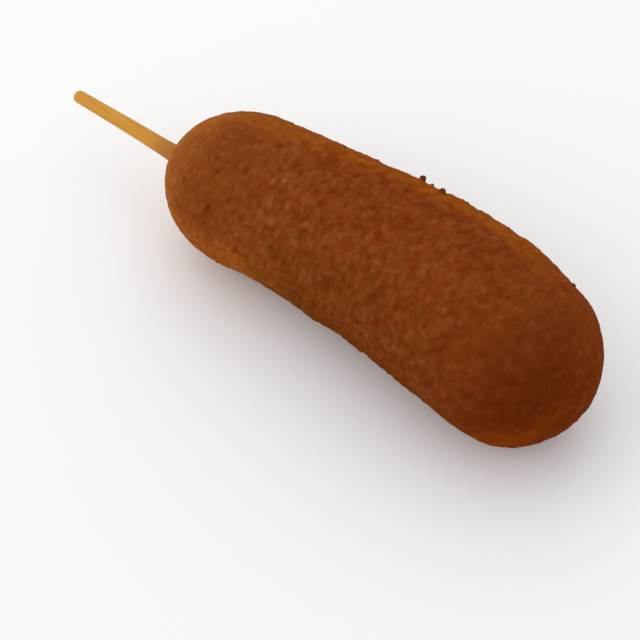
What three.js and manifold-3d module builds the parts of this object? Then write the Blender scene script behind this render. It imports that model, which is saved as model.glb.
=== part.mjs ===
// A corn dog lying on its side: a fried, battered body on a round wooden stick.
// Millimetres, +Z up. The body runs along X, with the stick towards -X.

import * as THREE from 'three';
import { mergeVertices } from 'three/addons/utils/BufferGeometryUtils.js';
import Module from 'manifold-3d';

const manifoldLibrary = await Module();
manifoldLibrary.setup();

// ---- Driving dimensions ----

// Body, measured along its own bent centre line from the stick end.
const bodyLength = 129.5;
const stickEndRadius = 20.8;
const bellyRadius = 23.2;
const farEndRadius = 20.9;
const swellStart = 0.23 * bodyLength;
const bellyStart = 0.76 * bodyLength;
const narrowingStart = 0.72 * bodyLength;
const stickEndCap = 25;
const farEndCap = 19;
const bendRadius = 264;
const bendMiddle = 65;
const restingDepth = 0.8;

// The stick end is drawn a little to the side, most of all at its tip.
const stickEndDrift = -1.1;
const driftLength = 30;

// Slow swells of the batter over the whole body.
const lumpCount = 5;
const lumpHeight = 0.2;
const lumpsAlongBody = 1.7;
const lumpStart = 3;

// Stick, with its centre line a little off the body's.
const stickShown = 40;
const stickHeld = 62;
const stickTipRadius = 1.76;
const stickEntryRadius = 2.36;
const stickNose = 1.3;
const stickSideways = -5.4;
const stickDrop = 1.7;
const stickTurn = THREE.MathUtils.degToRad(1.9);

// Batter that climbs the stick where it comes out, and the play round the stick.
const collarHeight = 1.7;
const collarWidth = 1.5;
const socketGap = 0.3;

// Fineness of the faceted surfaces.
const sidesAroundBody = 60;
const stickEndRings = 14;
const middleRings = 32;
const farEndRings = 12;
const ringCrowding = 1.35;
const sidesAroundStick = 24;
const noseSteps = 6;
const shankSteps = 8;

const goldenAngle = Math.PI * (3 - Math.sqrt(5));
const stickEndX = -bendRadius * Math.sin(bendMiddle / bendRadius);
const stickHeight = stickEndRadius - restingDepth - stickDrop;

// ---- Body ----

// Radius without the rounded ends: slim near the stick, full towards the far end.
function trunkRadius(along) {
  const { smoothstep } = THREE.MathUtils;
  const swell = (bellyRadius - stickEndRadius) * smoothstep(along, swellStart, bellyStart);
  const narrowing = (farEndRadius - bellyRadius) * smoothstep(along, narrowingStart, bodyLength);
  return stickEndRadius + swell + narrowing;
}

// How far a rounded end has opened at a distance from its tip, from 0 to 1.
function capOpening(distance, capLength) {
  const missing = 1 - Math.min(distance / capLength, 1);
  return Math.sqrt(1 - missing * missing);
}

function bodyOpening(along) {
  return capOpening(along, stickEndCap) * capOpening(bodyLength - along, farEndCap);
}

// Slow waves, each one shorter and lower than the one before.
function lump(along, turn) {
  let rise = 0;
  for (let wave = 1; wave <= lumpCount; wave += 1) {
    const lengthwise = (2 * Math.PI * lumpsAlongBody * wave * along) / bodyLength;
    const phase = wave * goldenAngle + lumpStart;
    rise += (lumpHeight / wave) * Math.sin(lengthwise + phase) * Math.cos((wave + 1) * turn - phase);
    rise += (lumpHeight / wave) * Math.cos(lengthwise - 2 * phase) * Math.sin(wave * turn + phase);
  }
  return rise;
}

// Distances from the stick end at which the body has a ring, crowded at its tips.
function ringPlaces() {
  const places = [];
  for (let ring = 1; ring < stickEndRings; ring += 1) {
    const angle = (Math.PI / 2) * (ring / stickEndRings) ** ringCrowding;
    places.push(stickEndCap * (1 - Math.cos(angle)));
  }
  const middleLength = bodyLength - stickEndCap - farEndCap;
  for (let ring = 0; ring <= middleRings; ring += 1) {
    places.push(stickEndCap + (middleLength * ring) / middleRings);
  }
  for (let ring = farEndRings - 1; ring > 0; ring -= 1) {
    const angle = (Math.PI / 2) * (ring / farEndRings) ** ringCrowding;
    places.push(bodyLength - farEndCap * (1 - Math.cos(angle)));
  }
  return places;
}

// Turns a place on the straight body into its place on the bent one, lying at Z = 0.
function bodyPoint(along, turn) {
  const opening = bodyOpening(along);
  const radius = (trunkRadius(along) + lump(along, turn)) * opening;
  const angle = (along - bendMiddle) / bendRadius;
  const reach = bendRadius + radius * Math.cos(turn);
  const axisHeight = trunkRadius(along) - restingDepth;
  const drift = stickEndDrift * Math.max(1 - along / driftLength, 0) ** 2;
  const point = new THREE.Vector3(
    reach * Math.sin(angle),
    reach * Math.cos(angle) - bendRadius + drift,
    axisHeight + radius * Math.sin(turn),
  );
  return liftCollar(point);
}

// The batter is drawn out along the stick, most of all right beside it.
function liftCollar(point) {
  if (point.x > stickEndX + stickEndCap) {
    return point;
  }
  const besideStick = Math.hypot(point.y - stickSideways, point.z - stickHeight);
  const fromStick = Math.max(besideStick - stickEntryRadius, 0);
  point.x -= collarHeight * Math.exp(-fromStick / collarWidth);
  return point;
}

function bodyShellGeometry() {
  const places = ringPlaces();
  const points = [bodyPoint(0, 0)];
  for (const along of places) {
    for (let side = 0; side < sidesAroundBody; side += 1) {
      points.push(bodyPoint(along, (2 * Math.PI * side) / sidesAroundBody));
    }
  }
  points.push(bodyPoint(bodyLength, 0));

  const farTip = points.length - 1;
  const lastRing = (places.length - 1) * sidesAroundBody;
  const faces = [];
  for (let side = 0; side < sidesAroundBody; side += 1) {
    const next = (side + 1) % sidesAroundBody;
    faces.push(0, 1 + next, 1 + side);
    faces.push(farTip, 1 + lastRing + side, 1 + lastRing + next);
    for (let ring = 0; ring < places.length - 1; ring += 1) {
      const near = 1 + ring * sidesAroundBody;
      const far = near + sidesAroundBody;
      faces.push(near + side, near + next, far + side);
      faces.push(near + next, far + next, far + side);
    }
  }
  const geometry = new THREE.BufferGeometry().setFromPoints(points);
  geometry.setIndex(faces);
  return geometry;
}

// The table that the body rests on, as a slab whose top is Z = 0.
function tableGeometry() {
  const slab = new THREE.BoxGeometry(2 * bodyLength, 2 * bodyLength, bellyRadius);
  return slab.translate(0, 0, -bellyRadius / 2);
}

function bodyGeometry() {
  const shell = toSolid(bodyShellGeometry());
  const table = toSolid(tableGeometry());
  const socket = toSolid(stickGeometry(socketGap));
  return toGeometry(shell.subtract(table).subtract(socket));
}

// ---- Stick ----

// Half outline of the stick, from its shown tip to its held end, grown by a margin.
function stickOutline(margin) {
  const length = stickShown + stickHeld;
  const outline = [];
  for (let step = 0; step <= noseSteps; step += 1) {
    const angle = (Math.PI / 2) * (step / noseSteps);
    const radius = (stickTipRadius + margin) * Math.sin(angle);
    outline.push(new THREE.Vector2(radius, (stickNose + margin) * (1 - Math.cos(angle)) - margin));
  }
  for (let step = 1; step <= shankSteps; step += 1) {
    const share = step / shankSteps;
    const radius = THREE.MathUtils.lerp(stickTipRadius, stickEntryRadius, share);
    outline.push(new THREE.Vector2(radius + margin, stickNose + (stickShown - stickNose) * share));
  }
  outline.push(new THREE.Vector2(stickEntryRadius + margin, length + margin));
  outline.push(new THREE.Vector2(0, length + margin));
  outline[0].x = 0;
  return outline;
}

// The lathe turns about Y, so the stick is laid down along X and put in its place.
function stickGeometry(margin) {
  const stick = new THREE.LatheGeometry(stickOutline(margin), sidesAroundStick);
  stick.translate(0, -stickShown, 0);
  stick.rotateZ(-Math.PI / 2);
  stick.rotateZ(stickTurn);
  return stick.translate(stickEndX, stickSideways, stickHeight);
}

// ---- Cutting ----

function toSolid(geometry) {
  const bare = geometry.clone();
  bare.deleteAttribute('normal');
  bare.deleteAttribute('uv');
  const merged = mergeVertices(bare);
  const mesh = new manifoldLibrary.Mesh({
    numProp: 3,
    vertProperties: new Float32Array(merged.attributes.position.array),
    triVerts: new Uint32Array(merged.index.array),
  });
  return new manifoldLibrary.Manifold(mesh);
}

function toGeometry(solid) {
  const mesh = solid.getMesh();
  const geometry = new THREE.BufferGeometry();
  geometry.setAttribute('position', new THREE.BufferAttribute(mesh.vertProperties, 3));
  geometry.setIndex(new THREE.BufferAttribute(mesh.triVerts, 1));
  geometry.computeVertexNormals();
  return geometry;
}

// ---- Materials and assembly ----

const crustMaterial = new THREE.MeshStandardMaterial({ color: 0x7a3915, roughness: 0.6, metalness: 0 });
const woodMaterial = new THREE.MeshStandardMaterial({ color: 0xcf943c, roughness: 0.65, metalness: 0 });

const cornDog = new THREE.Group();

const body = new THREE.Mesh(bodyGeometry(), crustMaterial);
body.name = 'battered_body';
cornDog.add(body);

const stick = new THREE.Mesh(stickGeometry(0), woodMaterial);
stick.name = 'stick';
cornDog.add(stick);

// The origin is at the middle of the whole thing, on the table.
const extent = new THREE.Box3().setFromObject(cornDog, true);
const middle = extent.getCenter(new THREE.Vector3());
cornDog.position.set(-middle.x, -middle.y, -extent.min.z);
cornDog.updateMatrixWorld(true);

export default cornDog;
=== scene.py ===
"""A corn dog on its stick: a fried crust, a few crumbs stuck to it and a bare wooden stick.

Metres, in the solid model's frame: the body runs along X with the stick towards -X, and rests on Z = 0.
"""

import math
import random

import bmesh
import bpy
from mathutils import Matrix, Vector, noise
from mathutils.geometry import intersect_point_line


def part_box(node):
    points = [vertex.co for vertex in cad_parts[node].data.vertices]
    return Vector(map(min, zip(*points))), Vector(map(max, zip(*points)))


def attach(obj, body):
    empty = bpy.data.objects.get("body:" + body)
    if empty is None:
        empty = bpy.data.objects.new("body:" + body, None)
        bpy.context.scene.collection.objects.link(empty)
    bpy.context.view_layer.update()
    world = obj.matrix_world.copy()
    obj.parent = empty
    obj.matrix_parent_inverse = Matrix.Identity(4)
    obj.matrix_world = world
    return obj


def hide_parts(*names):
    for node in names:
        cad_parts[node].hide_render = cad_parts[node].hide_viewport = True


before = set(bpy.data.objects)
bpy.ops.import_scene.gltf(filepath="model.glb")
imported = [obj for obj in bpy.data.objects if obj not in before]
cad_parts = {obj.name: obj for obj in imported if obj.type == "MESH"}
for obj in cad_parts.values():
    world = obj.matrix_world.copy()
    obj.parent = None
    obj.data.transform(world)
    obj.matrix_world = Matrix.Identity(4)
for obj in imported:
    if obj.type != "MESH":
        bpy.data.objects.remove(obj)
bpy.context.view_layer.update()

MM = 0.001

# ---- Body, the same form as the solid it replaces ----

BODY_LENGTH = 129.5 * MM
STICK_END_RADIUS = 20.8 * MM
BELLY_RADIUS = 23.2 * MM
FAR_END_RADIUS = 20.9 * MM
SWELL_START = 0.23 * BODY_LENGTH
BELLY_START = 0.76 * BODY_LENGTH
NARROWING_START = 0.72 * BODY_LENGTH
STICK_END_CAP = 25 * MM
FAR_END_CAP = 19 * MM
STICK_END_DRIFT = -1.1 * MM
DRIFT_LENGTH = 30 * MM
BEND_RADIUS = 264 * MM
BEND_AT = 65 * MM
BEND_MIDDLE = Vector((19.916, 1.805, 0.0)) * MM
RESTING_DEPTH = 0.8 * MM

SWELL_COUNT = 5
SWELL_HEIGHT = 0.2 * MM
SWELLS_ALONG_BODY = 1.7
SWELL_PHASE = 3.0
GOLDEN_ANGLE = math.pi * (3 - math.sqrt(5))

# The side of the body that faces the camera; the pale band painted along the outline it gives is
# painted rim light.
CAMERA_FACING_SIDE = Vector((0.0, -0.616, 0.788))

# ---- Stick ----

stick_low, stick_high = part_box("stick")
STICK_HEIGHT = (stick_low.z + stick_high.z) / 2
STICK_TURN = math.radians(1.9)
STICK_SHOWN = 40 * MM
STICK_TIP_RADIUS = 1.76 * MM
STICK_ENTRY_RADIUS = 2.36 * MM
STICK_NOSE = 1.3 * MM
STICK_ENTRY = Vector((stick_low.x + STICK_SHOWN, -3.595 * MM, STICK_HEIGHT))


def smooth_step(value, start, end):
    share = min(max((value - start) / (end - start), 0.0), 1.0)
    return share * share * (3 - 2 * share)


# ---- Form of the body ----


def trunk_radius(along):
    swell = (BELLY_RADIUS - STICK_END_RADIUS) * smooth_step(along, SWELL_START, BELLY_START)
    narrowing = (FAR_END_RADIUS - BELLY_RADIUS) * smooth_step(along, NARROWING_START, BODY_LENGTH)
    return STICK_END_RADIUS + swell + narrowing


def slow_swells(along, turn):
    rise = 0.0
    for wave in range(1, SWELL_COUNT + 1):
        lengthwise = 2 * math.pi * SWELLS_ALONG_BODY * wave * along / BODY_LENGTH
        phase = wave * GOLDEN_ANGLE + SWELL_PHASE
        height = SWELL_HEIGHT / wave
        rise += height * math.sin(lengthwise + phase) * math.cos((wave + 1) * turn - phase)
        rise += height * math.cos(lengthwise - 2 * phase) * math.sin(wave * turn + phase)
    return rise


def walk_over_body(share):
    """How far along the body, and how open, it is at a share of the way over its surface."""
    stick_end_arc = math.pi / 2 * (STICK_END_CAP + STICK_END_RADIUS) / 2
    far_end_arc = math.pi / 2 * (FAR_END_CAP + FAR_END_RADIUS) / 2
    trunk = BODY_LENGTH - STICK_END_CAP - FAR_END_CAP
    walked = share * (stick_end_arc + trunk + far_end_arc)
    if walked < stick_end_arc:
        angle = math.pi / 2 * walked / stick_end_arc
        return STICK_END_CAP * (1 - math.cos(angle)), math.sin(angle)
    if walked < stick_end_arc + trunk:
        return STICK_END_CAP + walked - stick_end_arc, 1.0
    angle = math.pi / 2 * (stick_end_arc + trunk + far_end_arc - walked) / far_end_arc
    return BODY_LENGTH - FAR_END_CAP * (1 - math.cos(angle)), math.sin(angle)


def body_place(along, opening, turn):
    """The place on the smooth body at a distance along it and a turn round it."""
    radius = (trunk_radius(along) + slow_swells(along, turn)) * opening
    angle = (along - BEND_AT) / BEND_RADIUS
    reach = BEND_RADIUS + radius * math.cos(turn)
    height = trunk_radius(along) - RESTING_DEPTH + radius * math.sin(turn)
    drift = STICK_END_DRIFT * max(1 - along / DRIFT_LENGTH, 0.0) ** 2
    bent = Vector((reach * math.sin(angle), reach * math.cos(angle) - BEND_RADIUS + drift, height))
    return bent + BEND_MIDDLE


def smooth_skin(along, turn):
    """Place and outward direction on the smooth body, at a true distance along it."""
    trunk_end = BODY_LENGTH - FAR_END_CAP
    opening = 1.0
    if along < STICK_END_CAP:
        opening = math.sqrt(1 - (1 - along / STICK_END_CAP) ** 2)
    if along > trunk_end:
        opening = math.sqrt(1 - ((along - trunk_end) / FAR_END_CAP) ** 2)
    place = body_place(along, opening, turn)
    core = body_place(min(max(along, STICK_END_CAP), trunk_end), 0.0, turn)
    return place, (place - core).normalized()


# ---- Relief of the crust ----

COLLAR_HEIGHT = 2.6 * MM
COLLAR_WIDTH = 1.2 * MM
SMOOTH_BY_STICK = 5 * MM

# Size and height of each layer of unevenness, and how far apart the scattered ones are.
GRAIN_WIDTH = 1.3 * MM
GRAIN_LENGTH = 2.3 * MM
GRAIN_HEIGHT = 0.3 * MM
GRAIN_SLANT = math.radians(24)
KERNEL_SPACING = 1.7 * MM
KERNEL_REACH = 0.8
KERNEL_HEIGHT = 0.13 * MM
KERNEL_WANDER = 0.35
KERNEL_WANDER_SIZE = 2.4 * MM
WANDER_STEP = Vector((17.3, 5.9, 31.7))
LUMP_SIZE = 8 * MM
LUMP_HEIGHT = 0.3 * MM
RIPPLE_SIZE = 3.0 * MM
RIPPLE_HEIGHT = 0.26 * MM
FINE_SIZE = 0.8 * MM
FINE_HEIGHT = 0.1 * MM
BLISTER_SPACING = 6.5 * MM
BLISTER_RADIUS = 1.6 * MM
BLISTER_HEIGHT = 0.22 * MM
BLISTER_SHARE = 0.4
PIT_SPACING = 4.4 * MM
PIT_RADIUS = 0.7 * MM
PIT_DEPTH = 0.15 * MM
PIT_SHARE = 0.3
SMALLEST_DOME = 0.55
SETTLED_HEIGHT = 0.3 * MM

# Some stretches of the crust are coarser than others, and both ends are smoother.
COARSE_STRETCH = 11 * MM
COARSE_CHANGE = 0.5
STICK_END_SMOOTHNESS = 0.52
STICK_END_SMOOTHING = (0.0, -0.25 * BODY_LENGTH)
FAR_END_SMOOTHNESS = 0.55
FAR_END_SMOOTHING = (0.25 * BODY_LENGTH, 0.6 * BODY_LENGTH)

# How much each layer counts in where the crust is dry and pale, and where it is dark.
GRAIN_CREST = 0.75
KERNEL_CREST = 0.3
RIPPLE_CREST = 0.3
FINE_CREST = 0.35
PIT_CREST = 0.6
CREASE_CREST = 1.4

grain_lie = Matrix.Rotation(GRAIN_SLANT, 3, CAMERA_FACING_SIDE)

# Creases of the upper side: distance along the body in mm and turn in degrees of one end, the
# same of the other end, and how deep the crease is, from 0 to 1.
CREASES = (
    (25.0, 96, 27.9, 89, 0.6),
    (18.5, 121, 19.7, 114, 0.5),
    (21.7, 154, 23.0, 149, 0.8),
    (19.1, 161, 21.7, 157, 0.6),
    (32.5, 177, 34.3, 164, 0.5),
    (21.0, 125, 22.4, 121, 0.5),
    (28.6, 117, 28.9, 114, 0.8),
    (30.7, 124, 31.1, 121, 0.5),
    (37.9, 120, 38.2, 117, 0.5),
    (27.5, 141, 28.2, 138, 0.6),
    (51.5, 114, 52.2, 109, 0.5),
)
CREASE_WIDTH = 0.65 * MM
CREASE_DEPTH = 0.3 * MM

# The one shallow hollow in the back, given in the same way.
HOLLOWS = (
    (67.5, 38, 71.5, 42, 1.0),
)
HOLLOW_WIDTH = 3 * MM
HOLLOW_DEPTH = 0.7 * MM
GROOVE_REACH = 4


def lines_on_skin(entries):
    """Both ends of each groove on the smooth body, and how deep it is."""
    lines = []
    for along_start, turn_start, along_end, turn_end, depth in entries:
        start = smooth_skin(along_start * MM, math.radians(turn_start))[0]
        end = smooth_skin(along_end * MM, math.radians(turn_end))[0]
        lines.append((start, end, depth))
    return lines


crease_lines = lines_on_skin(CREASES)
hollow_lines = lines_on_skin(HOLLOWS)


def dip(point, lines, width):
    """How far into the nearest of some soft grooves it is, from 0 to 1."""
    deepest = 0.0
    for start, end, depth in lines:
        if abs(point.x - start.x) < GROOVE_REACH * width + abs(end.x - start.x):
            share = intersect_point_line(point, start, end)[1]
            nearest = start.lerp(end, min(max(share, 0.0), 1.0))
            distance = (point - nearest).length
            deepest = max(deepest, depth * math.exp(-(distance / width) ** 2))
    return deepest


CELL_SHUFFLE = 7.3


def scattered_domes(point, spacing, radius, kept):
    """Rounded bumps of uneven size, at a share of evenly scattered places. From 0 to 1."""
    distances, places = noise.voronoi(point / spacing)
    draw = abs(noise.cell(places[0] * CELL_SHUFFLE))
    if draw > kept:
        return 0.0
    size = radius * (SMALLEST_DOME + (1 - SMALLEST_DOME) * draw / kept)
    closeness = 1 - (distances[0] * spacing / size) ** 2
    return max(closeness, 0.0)


def wandering(point):
    """A soft drift sideways, from three unlike stretches of noise."""
    return Vector([noise.noise(point + WANDER_STEP * axis) for axis in range(3)])


def crust_kernels(point):
    """Rounded grains of batter packed side by side, from 0 between them to 1 on their tops."""
    wander = KERNEL_WANDER * wandering(point / KERNEL_WANDER_SIZE)
    distances = noise.voronoi(point / KERNEL_SPACING + wander)[0]
    return 1 - min(distances[0] / KERNEL_REACH, 1.0) ** 2


def crust_relief(point):
    """Height of the crust over the smooth body, and how near the top of a grain it is.

    The second is from 0 to 1, and below 0 in a crease.
    """
    lie = grain_lie @ point
    grain = noise.noise((lie.x / GRAIN_WIDTH, lie.y / GRAIN_LENGTH, lie.z / GRAIN_LENGTH))
    fine = noise.noise(point / FINE_SIZE)
    ripple = noise.noise(lie / RIPPLE_SIZE)
    kernel = crust_kernels(point) - 0.5
    coarseness = 1 + COARSE_CHANGE * noise.noise(point / COARSE_STRETCH)
    coarseness -= FAR_END_SMOOTHNESS * smooth_step(point.x, *FAR_END_SMOOTHING)
    evenness = 1 - STICK_END_SMOOTHNESS * smooth_step(point.x, *STICK_END_SMOOTHING)
    blisters = scattered_domes(point, BLISTER_SPACING, BLISTER_RADIUS, BLISTER_SHARE)
    pits = scattered_domes(point + BEND_MIDDLE, PIT_SPACING, PIT_RADIUS, PIT_SHARE)
    height = GRAIN_HEIGHT * grain + KERNEL_HEIGHT * kernel + FINE_HEIGHT * fine
    height += RIPPLE_HEIGHT * ripple
    height *= coarseness
    height -= LUMP_HEIGHT * noise.noise(point / LUMP_SIZE)
    height += BLISTER_HEIGHT * blisters - PIT_DEPTH * pits
    height *= evenness
    crest = 0.5 + GRAIN_CREST * grain + FINE_CREST * fine + KERNEL_CREST * kernel
    crest += RIPPLE_CREST * ripple - PIT_CREST * pits
    crest = min(max(crest, 0.0), 1.0)
    crease = dip(point, crease_lines, CREASE_WIDTH)
    height -= CREASE_DEPTH * crease + HOLLOW_DEPTH * dip(point, hollow_lines, HOLLOW_WIDTH)
    return height, crest - CREASE_CREST * crease


def from_stick(point):
    """Distance from the stick's side, on the end of the body that the stick comes out of."""
    return math.hypot(point.y - STICK_ENTRY.y, point.z - STICK_ENTRY.z) - STICK_ENTRY_RADIUS


def collar_lift(point):
    """How far the batter is drawn out along the stick."""
    if point.x > STICK_ENTRY.x + STICK_END_CAP:
        return 0.0
    return COLLAR_HEIGHT * math.exp(-max(from_stick(point), 0.0) / COLLAR_WIDTH)


def settle(height):
    """Presses what would be below the table flat, without folding it."""
    if height > SETTLED_HEIGHT:
        return height
    return SETTLED_HEIGHT * math.exp(height / SETTLED_HEIGHT - 1)


def finished_object(name, shape, material):
    """Turns a bmesh into a smooth-shaded object that has one material."""
    mesh = bpy.data.meshes.new(name)
    shape.to_mesh(mesh)
    shape.free()
    mesh.polygons.foreach_set("use_smooth", [True] * len(mesh.polygons))
    mesh.materials.append(material)
    made = bpy.data.objects.new(name, mesh)
    bpy.context.scene.collection.objects.link(made)
    return made


# ---- Crust ----

SEGMENTS_ROUND = 316
SEGMENTS_OVER = 304


def make_crust(material):
    shape = bmesh.new()
    crest_layer = shape.verts.layers.float.new("crest")
    bmesh.ops.create_uvsphere(shape, u_segments=SEGMENTS_ROUND, v_segments=SEGMENTS_OVER, radius=1)
    for vert in shape.verts:
        over = math.acos(min(max(-vert.co.z, -1.0), 1.0)) / math.pi
        turn = math.atan2(vert.co.x, vert.co.y)
        along, opening = walk_over_body(over)
        vert.co = body_place(along, opening, turn)
    shape.normal_update()
    bmesh.ops.recalc_face_normals(shape, faces=shape.faces)
    shape.normal_update()
    for vert in shape.verts:
        place = vert.co.copy()
        height, crest = crust_relief(place)
        near_stick = place.x < STICK_ENTRY.x + STICK_END_CAP
        calm = smooth_step(from_stick(place), 0, SMOOTH_BY_STICK) if near_stick else 1.0
        vert.co = place + vert.normal * height * calm
        vert.co.x -= collar_lift(place)
        vert.co.z = settle(vert.co.z)
        vert[crest_layer] = 0.5 + (crest - 0.5) * calm
    return finished_object("crust", shape, material)


# ---- Crumbs ----

# Crumbs on the ridge of the back: distance along the body in mm, turn in degrees, radius in mm
# and how darkly each is toasted, from 0 to 1.
BACK_CRUMBS = (
    (26.2, 39, 0.45, 0.2),
    (39.1, 40, 0.45, 0.15),
    (48.0, 40.5, 0.5, 0.3),
    (51.3, 41, 0.6, 0.1),
    (63.5, 38, 0.95, 1.0),
    (67.3, 44.5, 0.75, 0.3),
    (71.9, 53, 1.05, 0.85),
    (76.6, 38.5, 0.5, 0.1),
    (88.5, 37.5, 0.55, 0.3),
    (108.3, 31, 0.6, 0.3),
)
STRAY_CRUMBS = 10
STRAY_ALONG = (0.08, 0.97)
STRAY_TURN_MIDDLE = 0
STRAY_TURN_SPREAD = 30
STRAY_TOAST = (0.05, 0.3)
STRAY_SMALLEST = 0.25 * MM
STRAY_LARGEST = 0.6 * MM
CRUMB_SEED = 7

# Shape of a crumb, in shares of its radius.
CRUMB_STRETCH = (0.75, 1.2)
CRUMB_SINKING = 0.5
TOASTED_RISE = 0.7
CRUMB_FOOT = 0.7
KNOB_SIZE = 0.9
SMALL_KNOB_SIZE = 0.45
KNOB_HEIGHT = 0.35
SMALL_KNOB_HEIGHT = 0.14
TOASTED_PART = (-0.2, 0.7)


def add_crumb(shape, along, turn, radius, toast, chance):
    """A knobbly crumb on the crust, with a widened foot. Well toasted ones stand higher."""
    place, outward = smooth_skin(along, turn)
    place += outward * crust_relief(place)[0]
    stretch = [chance.uniform(*CRUMB_STRETCH) for axis in range(3)]
    turned = Matrix.Rotation(chance.uniform(0, 2 * math.pi), 4, outward)
    middle = place + outward * radius * (TOASTED_RISE * toast - CRUMB_SINKING)
    matrix = Matrix.Translation(middle) @ turned @ Matrix.Diagonal((*stretch, 1))
    toasted = shape.verts.layers.float["toasted"]
    made = bmesh.ops.create_icosphere(shape, subdivisions=3, radius=radius, matrix=matrix)
    for vert in made["verts"]:
        arm = vert.co - middle
        rise = arm.dot(outward)
        sideways = arm - outward * rise
        arm += sideways * CRUMB_FOOT * max(-rise / radius, 0.0)
        knobs = KNOB_HEIGHT * noise.noise(vert.co / (radius * KNOB_SIZE))
        knobs += SMALL_KNOB_HEIGHT * noise.noise(vert.co / (radius * SMALL_KNOB_SIZE))
        vert.co = middle + arm * (1 + knobs)
        vert[toasted] = toast * smooth_step(rise / radius, *TOASTED_PART)


def make_crumbs(material):
    chance = random.Random(CRUMB_SEED)
    shape = bmesh.new()
    shape.verts.layers.float.new("toasted")
    for along, turn, radius, toast in BACK_CRUMBS:
        add_crumb(shape, along * MM, math.radians(turn), radius * MM, toast, chance)
    for crumb in range(STRAY_CRUMBS):
        along = chance.uniform(*STRAY_ALONG) * BODY_LENGTH
        turn = math.radians(chance.gauss(STRAY_TURN_MIDDLE, STRAY_TURN_SPREAD))
        radius = STRAY_SMALLEST + (STRAY_LARGEST - STRAY_SMALLEST) * chance.random() ** 3
        toast = chance.uniform(*STRAY_TOAST)
        add_crumb(shape, along, turn, radius, toast, chance)
    return finished_object("crust_crumbs", shape, material)


# ---- Stick ----

STICK_SIDES = 48
STICK_RINGS = 170
NOSE_STEPS = 8
GROOVE_DEPTH = 0.045 * MM
GROOVE_WIDTH = 0.45 * MM
GROOVE_LENGTH = 16 * MM
FINE_GROOVE_DEPTH = 0.0225 * MM
FINE_GROOVE_SCALE = 2.3
STICK_BOW = 0.25 * MM
WELD_DISTANCE = 0.001 * MM

# Thin batter left on the stick where it comes out of the body.
FILM_THICKNESS = 0.3 * MM
FILM_LENGTH = 1.6 * MM


def make_stick(material):
    shape = bmesh.new()
    length = stick_high.x - stick_low.x
    outline = []
    for step in range(NOSE_STEPS + 1):
        angle = math.pi / 2 * step / NOSE_STEPS
        outline.append((STICK_NOSE * (1 - math.cos(angle)), STICK_TIP_RADIUS * math.sin(angle)))
    for ring in range(1, STICK_RINGS + 1):
        along = STICK_NOSE + (length - STICK_NOSE) * ring / STICK_RINGS
        widening = min(along / STICK_SHOWN, 1.0)
        outline.append((along, STICK_TIP_RADIUS + (STICK_ENTRY_RADIUS - STICK_TIP_RADIUS) * widening))
    outline.append((length, 0.0))
    points = [shape.verts.new((along, radius, 0)) for along, radius in outline]
    edges = [shape.edges.new(pair) for pair in zip(points, points[1:])]
    bmesh.ops.spin(
        shape, geom=points + edges, axis=(1, 0, 0), cent=(0, 0, 0),
        angle=2 * math.pi, steps=STICK_SIDES, use_merge=True,
    )
    bmesh.ops.remove_doubles(shape, verts=shape.verts, dist=WELD_DISTANCE)
    shape.normal_update()
    bmesh.ops.recalc_face_normals(shape, faces=shape.faces)
    shape.normal_update()
    for vert in shape.verts:
        point = vert.co
        streak = Vector((point.x / GROOVE_LENGTH, point.y / GROOVE_WIDTH, point.z / GROOVE_WIDTH))
        depth = GROOVE_DEPTH * noise.noise(streak)
        depth += FINE_GROOVE_DEPTH * noise.noise(streak * FINE_GROOVE_SCALE)
        bow = STICK_BOW * math.sin(math.pi * min(point.x / STICK_SHOWN, 1.0))
        bare = max(STICK_SHOWN - COLLAR_HEIGHT - point.x, 0.0)
        film = FILM_THICKNESS * math.exp(-bare / FILM_LENGTH) if point.x < STICK_SHOWN else 0.0
        vert.co = point + vert.normal * (depth + film) + Vector((0, 0, bow))
    placed = Matrix.Translation(STICK_ENTRY) @ Matrix.Rotation(STICK_TURN, 4, "Z")
    placed = placed @ Matrix.Translation((-STICK_SHOWN, 0, 0))
    bmesh.ops.transform(shape, matrix=placed, verts=shape.verts)
    return finished_object("wooden_stick", shape, material)


# ---- Nodes shared by the materials ----


def paint(red, green, blue):
    """A colour given from 0 to 255 as seen on a screen, in linear light."""
    def linear(value):
        value /= 255
        return value / 12.92 if value <= 0.04045 else ((value + 0.055) / 1.055) ** 2.4
    return (linear(red), linear(green), linear(blue), 1.0)


def add_node(tree, kind, settings=None, **inputs):
    """Adds a node, sets its properties, and sets or links its inputs by name."""
    made = tree.nodes.new(kind)
    for name, value in (settings or {}).items():
        setattr(made, name, value)
    for name, value in inputs.items():
        socket = made.inputs[name.replace("_", " ")]
        if isinstance(value, bpy.types.NodeSocket):
            tree.links.new(value, socket)
        else:
            socket.default_value = value
    return made


def new_group(name, inputs, outputs):
    """A shader node group with named sockets. Returns it with its input and output nodes."""
    group = bpy.data.node_groups.new(name, "ShaderNodeTree")
    for label, kind, default in inputs:
        socket = group.interface.new_socket(label, in_out="INPUT", socket_type=kind)
        if default is not None:
            socket.default_value = default
    for label, kind in outputs:
        group.interface.new_socket(label, in_out="OUTPUT", socket_type=kind)
    return group, group.nodes.new("NodeGroupInput"), group.nodes.new("NodeGroupOutput")


def use_group(tree, group, **inputs):
    return add_node(tree, "ShaderNodeGroup", {"node_tree": group}, **inputs)


def calculate(tree, operation, first, second=0.0, clamp=False):
    made = tree.nodes.new("ShaderNodeMath")
    made.operation = operation
    made.use_clamp = clamp
    for socket, value in zip(made.inputs, (first, second)):
        if isinstance(value, bpy.types.NodeSocket):
            tree.links.new(value, socket)
        else:
            socket.default_value = value
    return made.outputs["Value"]


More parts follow.
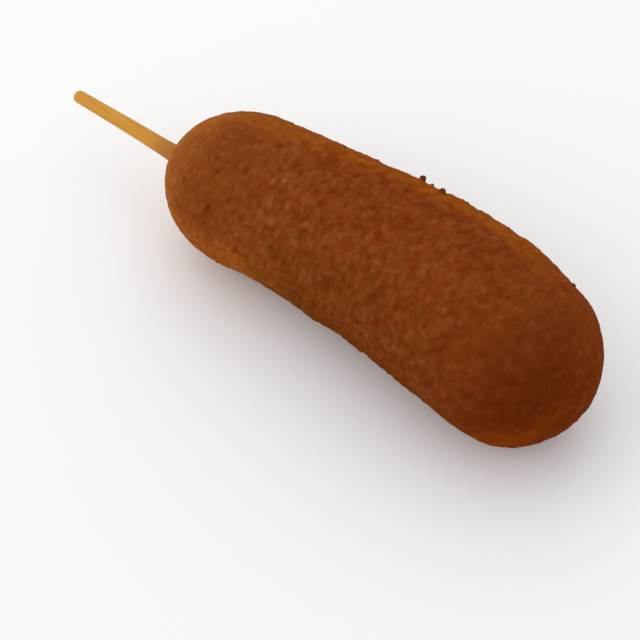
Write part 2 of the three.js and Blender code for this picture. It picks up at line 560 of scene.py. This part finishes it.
def blend_colours(tree, share, first, second, mode="MIX"):
    made = tree.nodes.new("ShaderNodeMix")
    made.data_type = "RGBA"
    made.blend_type = mode
    factor, colour_a, colour_b = made.inputs[0], made.inputs[6], made.inputs[7]
    for socket, value in ((factor, share), (colour_a, first), (colour_b, second)):
        if isinstance(value, bpy.types.NodeSocket):
            tree.links.new(value, socket)
        else:
            socket.default_value = value
    return made.outputs[2]


def ramp_value(tree, value, low, high, to_low=0.0, to_high=1.0):
    """Maps a value smoothly from one range to another."""
    made = add_node(
        tree, "ShaderNodeMapRange", {"interpolation_type": "SMOOTHSTEP"},
        Value=value, From_Min=low, From_Max=high, To_Min=to_low, To_Max=to_high,
    )
    return made.outputs["Result"]


def make_mottle_group():
    """Soft cloudy patches, from 0 to 1."""
    group, given, result = new_group(
        "mottle",
        [("Vector", "NodeSocketVector", None), ("Size", "NodeSocketFloat", 5 * MM),
         ("Contrast", "NodeSocketFloat", 1.0)],
        [("Mask", "NodeSocketFloat")],
    )
    scale = calculate(group, "DIVIDE", 1.0, given.outputs["Size"])
    clouds = add_node(
        group, "ShaderNodeTexNoise", None,
        Vector=given.outputs["Vector"], Scale=scale, Detail=3.0, Roughness=0.55,
    )
    centred = calculate(group, "SUBTRACT", clouds.outputs["Fac"], 0.5)
    spread = calculate(group, "MULTIPLY", centred, given.outputs["Contrast"])
    mask = calculate(group, "ADD", spread, 0.5, clamp=True)
    group.links.new(mask, result.inputs["Mask"])
    return group


def make_speck_group():
    """Scattered soft specks, 1 in their middles and 0 between them."""
    group, given, result = new_group(
        "specks",
        [("Vector", "NodeSocketVector", None), ("Spacing", "NodeSocketFloat", 3 * MM),
         ("Radius", "NodeSocketFloat", 0.3), ("Share", "NodeSocketFloat", 0.4)],
        [("Mask", "NodeSocketFloat")],
    )
    scale = calculate(group, "DIVIDE", 1.0, given.outputs["Spacing"])
    wander = add_node(
        group, "ShaderNodeTexNoise", None,
        Vector=given.outputs["Vector"], Scale=calculate(group, "MULTIPLY", scale, 2.0), Detail=1.0,
    )
    cells = add_node(
        group, "ShaderNodeTexVoronoi", None, Vector=given.outputs["Vector"], Scale=scale,
    )
    ragged = calculate(group, "SUBTRACT", wander.outputs["Fac"], 0.5)
    ragged = calculate(group, "MULTIPLY", ragged, 0.35)
    distance = calculate(group, "ADD", cells.outputs["Distance"], ragged)
    inner = calculate(group, "MULTIPLY", given.outputs["Radius"], 0.3)
    closeness = add_node(
        group, "ShaderNodeMapRange", {"interpolation_type": "SMOOTHSTEP"},
        Value=distance, From_Min=given.outputs["Radius"], From_Max=inner, To_Min=0.0, To_Max=1.0,
    )
    parts = add_node(group, "ShaderNodeSeparateColor", None, Color=cells.outputs["Color"])
    kept = calculate(group, "LESS_THAN", parts.outputs["Red"], given.outputs["Share"])
    mask = calculate(group, "MULTIPLY", closeness.outputs["Result"], kept)
    group.links.new(mask, result.inputs["Mask"])
    return group


def make_grit_group():
    """Height of a fine gritty surface, finer than the mesh can hold."""
    group, given, result = new_group(
        "grit",
        [("Vector", "NodeSocketVector", None), ("Size", "NodeSocketFloat", 0.5 * MM)],
        [("Height", "NodeSocketFloat")],
    )
    scale = calculate(group, "DIVIDE", 1.0, given.outputs["Size"])
    grit = add_node(
        group, "ShaderNodeTexNoise", None,
        Vector=given.outputs["Vector"], Scale=scale, Detail=4.0, Roughness=0.6,
    )
    lumps = add_node(
        group, "ShaderNodeTexVoronoi", {"feature": "SMOOTH_F1"},
        Vector=given.outputs["Vector"], Scale=scale,
    )
    dip = calculate(group, "MULTIPLY", lumps.outputs["Distance"], -0.5)
    height = calculate(group, "ADD", grit.outputs["Fac"], dip)
    group.links.new(height, result.inputs["Height"])
    return group


def new_material(name):
    """A material with one shader. Returns both."""
    material = bpy.data.materials.new(name)
    material.use_nodes = True
    tree = material.node_tree
    tree.nodes.clear()
    output = tree.nodes.new("ShaderNodeOutputMaterial")
    shader = tree.nodes.new("ShaderNodeBsdfPrincipled")
    tree.links.new(shader.outputs["BSDF"], output.inputs["Surface"])
    return material, shader


def own_place(tree):
    return tree.nodes.new("ShaderNodeTexCoord").outputs["Object"]


def vector_maths(tree, operation, first, second):
    made = add_node(tree, "ShaderNodeVectorMath", {"operation": operation})
    tree.links.new(first, made.inputs[0])
    made.inputs[1].default_value = second
    return made


def roughen(tree, shader, grit, place, size, strength, distance):
    """Gives a shader a fine gritty bump."""
    fine = use_group(tree, grit, Vector=place, Size=size)
    bump = add_node(
        tree, "ShaderNodeBump", None,
        Height=fine.outputs["Height"], Strength=strength, Distance=distance,
    )
    tree.links.new(bump.outputs["Normal"], shader.inputs["Normal"])


# ---- Materials ----

REDDISH_BROWN = paint(121, 52, 17)
GOLDEN_BROWN = paint(124, 61, 20)
# Partly the far end's deeper browning, partly painted shade.
FAR_END_BROWN_AND_SHADE = paint(95, 36, 5)
# Colours of the pale band of painted rim light along the outline.
RIM_LIGHT_TAN = paint(144, 72, 12)
FAR_RIM_LIGHT_BROWN = paint(132, 56, 5)
# Low on the front past the neck the band turns to a darker brown of painted shade.
FRONT_RIM_SHADE_BROWN = paint(112, 51, 4)
# Partly paler batter, partly painted light from the stick side.
STICK_END_TAN = paint(159, 96, 42)
BARE_BATTER = paint(190, 127, 55)
BURNT_SPECK = paint(86, 28, 3)

# Tints that darken or lighten the colour under them.
# Painted shade in the crevices between the grains.
CREVICE_SHADE_TINT = (0.84, 0.59, 0.38, 1.0)
# Painted shade in the creases.
CREASE_SHADE_TINT = (0.68, 0.55, 0.45, 1.0)
# Painted highlights on the tops of the grains and in pale specks.
PAINTED_HIGHLIGHT_TINT = (1.37, 1.7, 3.0, 1.0)
# A painted shade low on the front.
LOW_FRONT_SHADE_TINT = (0.87, 0.92, 0.85, 1.0)

# Where each change of colour starts and where it is full. Both ends are cut off aslant.
# The darker far end is partly deeper browning and partly painted shade, and starts earlier low on the
# front.
BROWNING_AND_LIGHT_SLANT = 0.75
FAR_END_BROWNING_AND_SHADE = (0.45 * BODY_LENGTH, 0.77 * BODY_LENGTH)
FAR_HALF = (0.42 * BODY_LENGTH, 0.62 * BODY_LENGTH)
NECK = (STICK_ENTRY.x + 60 * MM, STICK_ENTRY.x + 15 * MM)
STICK_END = (STICK_ENTRY.x + 20 * MM, STICK_ENTRY.x - 1 * MM)
BARE_ROUND_STICK = (STICK_ENTRY_RADIUS + 5 * MM, STICK_ENTRY_RADIUS)
# Where the band turns to painted shade: on the front, past the neck.
LINE_FRONT = (5 * MM, -5 * MM)
LINE_PAST_NECK = (-10 * MM, -2 * MM)
# Where the painted shade low on the front lies.
LOW_FRONT = (-12 * MM, -18 * MM)
FRONT_PAST_NECK = (-4 * MM, 8 * MM)
FRONT_BEFORE_FAR_END = (60 * MM, 48 * MM)

# The pale band of painted rim light along the outline, as distances from the plane through its middle.
LINE_EDGE = (17.5 * MM, 10.5 * MM)
LINE_WAVER = 6 * MM
LINE_PATCHES = 7 * MM
LINE_WIDENING = 2.5 * MM
LINE_FADING = (0.48 * BODY_LENGTH, 0.58 * BODY_LENGTH)
LINE_STRENGTH = 0.85
FADED_LINE_STRENGTH = 0.3

# The paler neck and stick end are partly paler batter and partly painted light from the stick side; the
# neck also takes some of the painted rim light.
NECK_PALENESS = 0.11
NECK_LINE_PALENESS = 0.15
STICK_END_PALENESS = 0.65
BARENESS = 0.9

# How uneven the colour is: least of all on the neck and on the far half.
HUE_PATCHES = 3 * MM
SHADE_PATCHES = 4 * MM
DARKEST_SHADE = 0.9
LIGHTEST_SHADE = 1.1
UNEVEN_MIDDLE = (0.32 * BODY_LENGTH, 0.55 * BODY_LENGTH)
FAR_UNEVENNESS = 0.6
UNEVEN_PAST_NECK = (-22 * MM, -2 * MM)
NECK_UNEVENNESS = 0.56

# Between which crests the painted shade in the crevices and the creases and the painted highlights on
# the tops of the grains start and end.
CREVICE_CRESTS = (0.5, 0.0)
CREVICE_STRENGTH = 0.69
CREASE_CRESTS = (0.1, -0.9)
HIGHLIGHT_CRESTS = (0.5, 0.95)
HIGHLIGHT_STRENGTH = 0.42
HIGHLIGHT_SPECK_STRENGTH = 0.42
BURNT_SPECK_STRENGTH = 0.45


def painted_rim_light_share(tree, place, towards_stick_end, neck, mottle):
    """How strongly the painted rim light shows, from 0 to 1."""
    middle = BEND_MIDDLE + Vector((0, 0, BELLY_RADIUS - RESTING_DEPTH))
    centred = vector_maths(tree, "SUBTRACT", place, middle).outputs["Vector"]
    facing = vector_maths(tree, "DOT_PRODUCT", centred, CAMERA_FACING_SIDE).outputs["Value"]
    from_line = calculate(tree, "ABSOLUTE", facing)
    patches = use_group(tree, mottle, Vector=place, Size=LINE_PATCHES, Contrast=1.6)
    wavering = calculate(tree, "MULTIPLY", patches.outputs["Mask"], LINE_WAVER)
    from_line = calculate(tree, "ADD", from_line, wavering)
    widening = calculate(tree, "MULTIPLY", neck, LINE_WIDENING)
    from_line = calculate(tree, "SUBTRACT", from_line, widening)
    share = ramp_value(tree, from_line, *LINE_EDGE)
    strength = ramp_value(
        tree, towards_stick_end, *LINE_FADING, LINE_STRENGTH, FADED_LINE_STRENGTH,
    )
    return calculate(tree, "MULTIPLY", share, strength)


def painted_rim_light_colour(tree, lengthwise, crosswise):
    """Colour of the painted rim light: tan at the back and on the neck, browner on the far half, and in
    front past the neck a darker brown of painted shade.
    """
    front = ramp_value(tree, crosswise, *LINE_FRONT)
    past_neck = ramp_value(tree, lengthwise, *LINE_PAST_NECK)
    # Painted shade low on the front past the neck.
    browned = calculate(tree, "MULTIPLY", front, past_neck)
    colour = blend_colours(tree, browned, RIM_LIGHT_TAN, FRONT_RIM_SHADE_BROWN)
    far_half = ramp_value(tree, lengthwise, *FAR_HALF)
    return blend_colours(tree, far_half, colour, FAR_RIM_LIGHT_BROWN)


def paint_low_front_shade(tree, colour, lengthwise, crosswise):
    """Painted shade low on the front, between the neck and the far end."""
    low_front = ramp_value(tree, crosswise, *LOW_FRONT)
    past_neck = ramp_value(tree, lengthwise, *FRONT_PAST_NECK)
    before_far_end = ramp_value(tree, lengthwise, *FRONT_BEFORE_FAR_END)
    share = calculate(tree, "MULTIPLY", low_front, past_neck)
    share = calculate(tree, "MULTIPLY", share, before_far_end)
    return blend_colours(tree, share, colour, LOW_FRONT_SHADE_TINT, "MULTIPLY")


def colour_grains(tree, colour, place, unevenness, specks):
    """Painted shade in crevices and creases, painted highlights on the tops of the grains and in pale
    specks, and burnt specks.
    """
    crest = add_node(tree, "ShaderNodeAttribute", {"attribute_name": "crest"}).outputs["Fac"]
    # Painted shade in the crevices and creases.
    crevice = ramp_value(tree, crest, *CREVICE_CRESTS, 0.0, CREVICE_STRENGTH)
    crevice = calculate(tree, "MULTIPLY", crevice, unevenness)
    colour = blend_colours(tree, crevice, colour, CREVICE_SHADE_TINT, "MULTIPLY")
    creased = ramp_value(tree, crest, *CREASE_CRESTS)
    colour = blend_colours(tree, creased, colour, CREASE_SHADE_TINT, "MULTIPLY")

    # Painted highlights on the tops of the grains and in pale specks.
    top = ramp_value(tree, crest, *HIGHLIGHT_CRESTS, 0.0, HIGHLIGHT_STRENGTH)
    top = calculate(tree, "MULTIPLY", top, unevenness)
    pale = use_group(tree, specks, Vector=place, Spacing=2.6 * MM, Radius=0.42, Share=0.5)
    pale_share = calculate(tree, "MULTIPLY", pale.outputs["Mask"], HIGHLIGHT_SPECK_STRENGTH)
    painted_highlight = calculate(tree, "ADD", top, pale_share, clamp=True)
    colour = blend_colours(tree, painted_highlight, colour, PAINTED_HIGHLIGHT_TINT, "MULTIPLY")

    burnt = use_group(tree, specks, Vector=place, Spacing=4.3 * MM, Radius=0.2, Share=0.2)
    burnt_share = calculate(tree, "MULTIPLY", burnt.outputs["Mask"], BURNT_SPECK_STRENGTH)
    return blend_colours(tree, burnt_share, colour, BURNT_SPECK)


def make_crust_material(mottle, specks, grit):
    material, shader = new_material("fried_crust")
    tree = material.node_tree
    place = own_place(tree)
    parts = add_node(tree, "ShaderNodeSeparateXYZ", None, Vector=place)
    lengthwise = parts.outputs["X"]
    crosswise = parts.outputs["Y"]
    aslant = calculate(tree, "MULTIPLY", crosswise, BROWNING_AND_LIGHT_SLANT)
    towards_far_end = calculate(tree, "SUBTRACT", lengthwise, aslant)
    towards_stick_end = calculate(tree, "ADD", lengthwise, aslant)

    hues = use_group(tree, mottle, Vector=place, Size=HUE_PATCHES, Contrast=2.6)
    colour = blend_colours(tree, hues.outputs["Mask"], REDDISH_BROWN, GOLDEN_BROWN)
    # Darker towards the far end: partly deeper browning, partly painted shade.
    far_end = ramp_value(tree, towards_far_end, *FAR_END_BROWNING_AND_SHADE)
    colour = blend_colours(tree, far_end, colour, FAR_END_BROWN_AND_SHADE)

    neck = ramp_value(tree, towards_stick_end, *NECK)
    # A pale band of painted rim light along the outline as the camera sees it, wider on the neck.
    painted_rim_light = painted_rim_light_share(tree, place, towards_stick_end, neck, mottle)
    line_colour = painted_rim_light_colour(tree, lengthwise, crosswise)
    colour = blend_colours(tree, painted_rim_light, colour, line_colour)

    # Paler neck and stick end: partly paler batter, partly painted light.
    neck_line = calculate(tree, "MULTIPLY", painted_rim_light, NECK_LINE_PALENESS)
    neck_share = calculate(tree, "ADD", neck_line, NECK_PALENESS)
    neck_share = calculate(tree, "MULTIPLY", neck_share, neck)
    stick_end = ramp_value(tree, lengthwise, *STICK_END, 0.0, STICK_END_PALENESS)
    stick_end = calculate(tree, "ADD", stick_end, neck_share, clamp=True)
    colour = blend_colours(tree, stick_end, colour, STICK_END_TAN)
    from_entry = vector_maths(tree, "DISTANCE", place, STICK_ENTRY).outputs["Value"]
    bare = ramp_value(tree, from_entry, *BARE_ROUND_STICK, 0.0, BARENESS)
    colour = blend_colours(tree, bare, colour, BARE_BATTER)

    clouds = use_group(tree, mottle, Vector=place, Size=SHADE_PATCHES, Contrast=2.0)
    shade = ramp_value(tree, clouds.outputs["Mask"], 0, 1, DARKEST_SHADE, LIGHTEST_SHADE)
    unevenness = ramp_value(tree, lengthwise, *UNEVEN_MIDDLE, 1.0, FAR_UNEVENNESS)
    neck_unevenness = ramp_value(tree, lengthwise, *UNEVEN_PAST_NECK, NECK_UNEVENNESS, 1.0)
    unevenness = calculate(tree, "MULTIPLY", unevenness, neck_unevenness)
    colour = blend_colours(tree, unevenness, colour, shade, "MULTIPLY")
    # Painted shade low on the front, between the neck and the far end.
    colour = paint_low_front_shade(tree, colour, lengthwise, crosswise)
    colour = colour_grains(tree, colour, place, unevenness, specks)
    tree.links.new(colour, shader.inputs["Base Color"])

    greasy = ramp_value(tree, clouds.outputs["Mask"], 0.2, 0.9, 0.72, 0.58)
    tree.links.new(greasy, shader.inputs["Roughness"])
    shader.inputs["Specular IOR Level"].default_value = 0.004
    roughen(tree, shader, grit, place, 0.55 * MM, 0.7, 0.14 * MM)
    return material


CRUMB_BROWN = paint(118, 52, 12)
CRUMB_DARK = paint(88, 43, 31)
CRUMB_PALE = paint(134, 70, 34)


def make_crumb_material(mottle, specks, grit):
    material, shader = new_material("fried_crumbs")
    tree = material.node_tree
    place = own_place(tree)
    clouds = use_group(tree, mottle, Vector=place, Size=2.2 * MM, Contrast=2.2)
    toasted = add_node(tree, "ShaderNodeAttribute", {"attribute_name": "toasted"}).outputs["Fac"]
    darkness = calculate(tree, "MULTIPLY", toasted, clouds.outputs["Mask"])
    darkness = ramp_value(tree, darkness, 0.05, 0.5)
    colour = blend_colours(tree, darkness, CRUMB_BROWN, CRUMB_DARK)
    flecks = use_group(tree, specks, Vector=place, Spacing=0.8 * MM, Radius=0.4, Share=0.3)
    fleck_share = calculate(tree, "MULTIPLY", flecks.outputs["Mask"], 0.5)
    colour = blend_colours(tree, fleck_share, colour, CRUMB_PALE)
    tree.links.new(colour, shader.inputs["Base Color"])
    shader.inputs["Roughness"].default_value = 0.6
    shader.inputs["Specular IOR Level"].default_value = 0.08
    roughen(tree, shader, grit, place, 0.35 * MM, 0.6, 0.1 * MM)
    return material


WOOD_PALE = paint(212, 152, 50)
WOOD_STREAK = paint(192, 130, 36)
WOOD_BROWNED = paint(166, 104, 36)
WOOD_FLECK = paint(150, 96, 40)
BROWNED_LENGTH = 13 * MM

# Streaks and pores are drawn out along the stick.
STREAK_SCALE = (0.035, 1.0, 1.0)
PORE_SCALE = (0.12, 1.0, 1.0)


def make_wood_material(mottle, specks, grit):
    material, shader = new_material("bare_wood")
    tree = material.node_tree
    place = own_place(tree)
    along_grain = add_node(
        tree, "ShaderNodeMapping", None, Vector=place, Scale=STREAK_SCALE,
    ).outputs["Vector"]
    streaks = use_group(tree, mottle, Vector=along_grain, Size=0.55 * MM, Contrast=2.6)
    colour = blend_colours(tree, streaks.outputs["Mask"], WOOD_PALE, WOOD_STREAK)

    short_grain = add_node(
        tree, "ShaderNodeMapping", None, Vector=place, Scale=PORE_SCALE,
    ).outputs["Vector"]
    pores = use_group(tree, specks, Vector=short_grain, Spacing=0.6 * MM, Radius=0.3, Share=0.3)
    pore_share = calculate(tree, "MULTIPLY", pores.outputs["Mask"], 0.4)
    colour = blend_colours(tree, pore_share, colour, WOOD_FLECK)

    lengthwise = add_node(tree, "ShaderNodeSeparateXYZ", None, Vector=place).outputs["X"]
    browned = ramp_value(
        tree, lengthwise, STICK_ENTRY.x - BROWNED_LENGTH, STICK_ENTRY.x - COLLAR_HEIGHT, 0.0, 1.0,
    )
    colour = blend_colours(tree, browned, colour, WOOD_BROWNED)
    tree.links.new(colour, shader.inputs["Base Color"])
    shader.inputs["Roughness"].default_value = 0.6
    shader.inputs["Specular IOR Level"].default_value = 0.25
    roughen(tree, shader, grit, along_grain, 0.3 * MM, 0.4, 0.06 * MM)
    return material


# ---- Stage ----

FLOOR_SIZE = 6.0
FLOOR_DROP = 0.1 * MM
FLOOR_WHITE = paint(250, 250, 250)
SKY_WHITE = (1.0, 1.0, 1.0, 1.0)
SKY_STRENGTH = 0.755
BACKDROP_STRENGTH = 0.93

# Name, place, side length and power in watts of each light.
LIGHTS = (
    ("front_light", Vector((-1.2, -1.4, 0.8)), 2.4, 14.6),
    ("window_light", Vector((-0.9, 0.7, 1.4)), 2.2, 9.0),
)
BODY_CENTRE = Vector((19.7, 0.0, 20.0)) * MM

CAMERA_AROUND = math.radians(40.36)
CAMERA_UP = math.radians(52)
CAMERA_DISTANCE = 385 * MM
CAMERA_LENS = 85.5
CAMERA_SENSOR = 36
CAMERA_NEAR = 10 * MM
LOOKED_AT = BEND_MIDDLE + Vector((0.0, 0.0, 20 * MM))
AIM_RIGHT = -15.65 * MM
AIM_UP = -14.8 * MM


def make_floor():
    material, shader = new_material("pale_floor")
    shader.inputs["Base Color"].default_value = FLOOR_WHITE
    shader.inputs["Roughness"].default_value = 0.9
    shader.inputs["Specular IOR Level"].default_value = 0.1
    shape = bmesh.new()
    bmesh.ops.create_grid(shape, x_segments=1, y_segments=1, size=FLOOR_SIZE / 2)
    bmesh.ops.translate(shape, verts=shape.verts, vec=(0, 0, -FLOOR_DROP))
    return finished_object("floor", shape, material)


def make_sky():
    world = bpy.data.worlds.new("soft_sky")
    world.use_nodes = True
    tree = world.node_tree
    background = tree.nodes["Background"]
    background.inputs["Color"].default_value = SKY_WHITE
    seen = tree.nodes.new("ShaderNodeLightPath").outputs["Is Camera Ray"]
    strength = ramp_value(tree, seen, 0, 1, SKY_STRENGTH, BACKDROP_STRENGTH)
    tree.links.new(strength, background.inputs["Strength"])
    bpy.context.scene.world = world


def make_light(name, place, target, size, power):
    """A large soft square light that points at a place."""
    lamp = bpy.data.lights.new(name, "AREA")
    lamp.shape = "SQUARE"
    lamp.size = size
    lamp.energy = power
    lit = bpy.data.objects.new(name, lamp)
    lit.location = place
    lit.rotation_euler = (target - place).to_track_quat("-Z", "Y").to_euler()
    bpy.context.scene.collection.objects.link(lit)


def make_camera():
    back = Vector((
        math.sin(CAMERA_AROUND) * math.cos(CAMERA_UP),
        -math.cos(CAMERA_AROUND) * math.cos(CAMERA_UP),
        math.sin(CAMERA_UP),
    ))
    right = Vector((math.cos(CAMERA_AROUND), math.sin(CAMERA_AROUND), 0))
    up = back.cross(right)
    aim = LOOKED_AT + right * AIM_RIGHT + up * AIM_UP
    lens = bpy.data.cameras.new("camera")
    lens.lens = CAMERA_LENS
    lens.sensor_width = CAMERA_SENSOR
    lens.clip_start = CAMERA_NEAR
    camera = bpy.data.objects.new("camera", lens)
    camera.location = aim + back * CAMERA_DISTANCE
    camera.rotation_euler = (-back).to_track_quat("-Z", "Y").to_euler()
    bpy.context.scene.collection.objects.link(camera)
    bpy.context.scene.camera = camera


# ---- Making it all ----

make_camera()
make_sky()
for name, place, size, power in LIGHTS:
    make_light(name, place, BODY_CENTRE, size, power)

mottle_group = make_mottle_group()
speck_group = make_speck_group()
grit_group = make_grit_group()
effects = (mottle_group, speck_group, grit_group)

crust = make_crust(make_crust_material(*effects))
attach(crust, "root")
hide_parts("battered_body")

crumbs = make_crumbs(make_crumb_material(*effects))
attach(crumbs, "root")

stick = make_stick(make_wood_material(*effects))
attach(stick, "root")
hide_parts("stick")

floor = make_floor()

bpy.context.scene.view_settings.view_transform = "Standard"
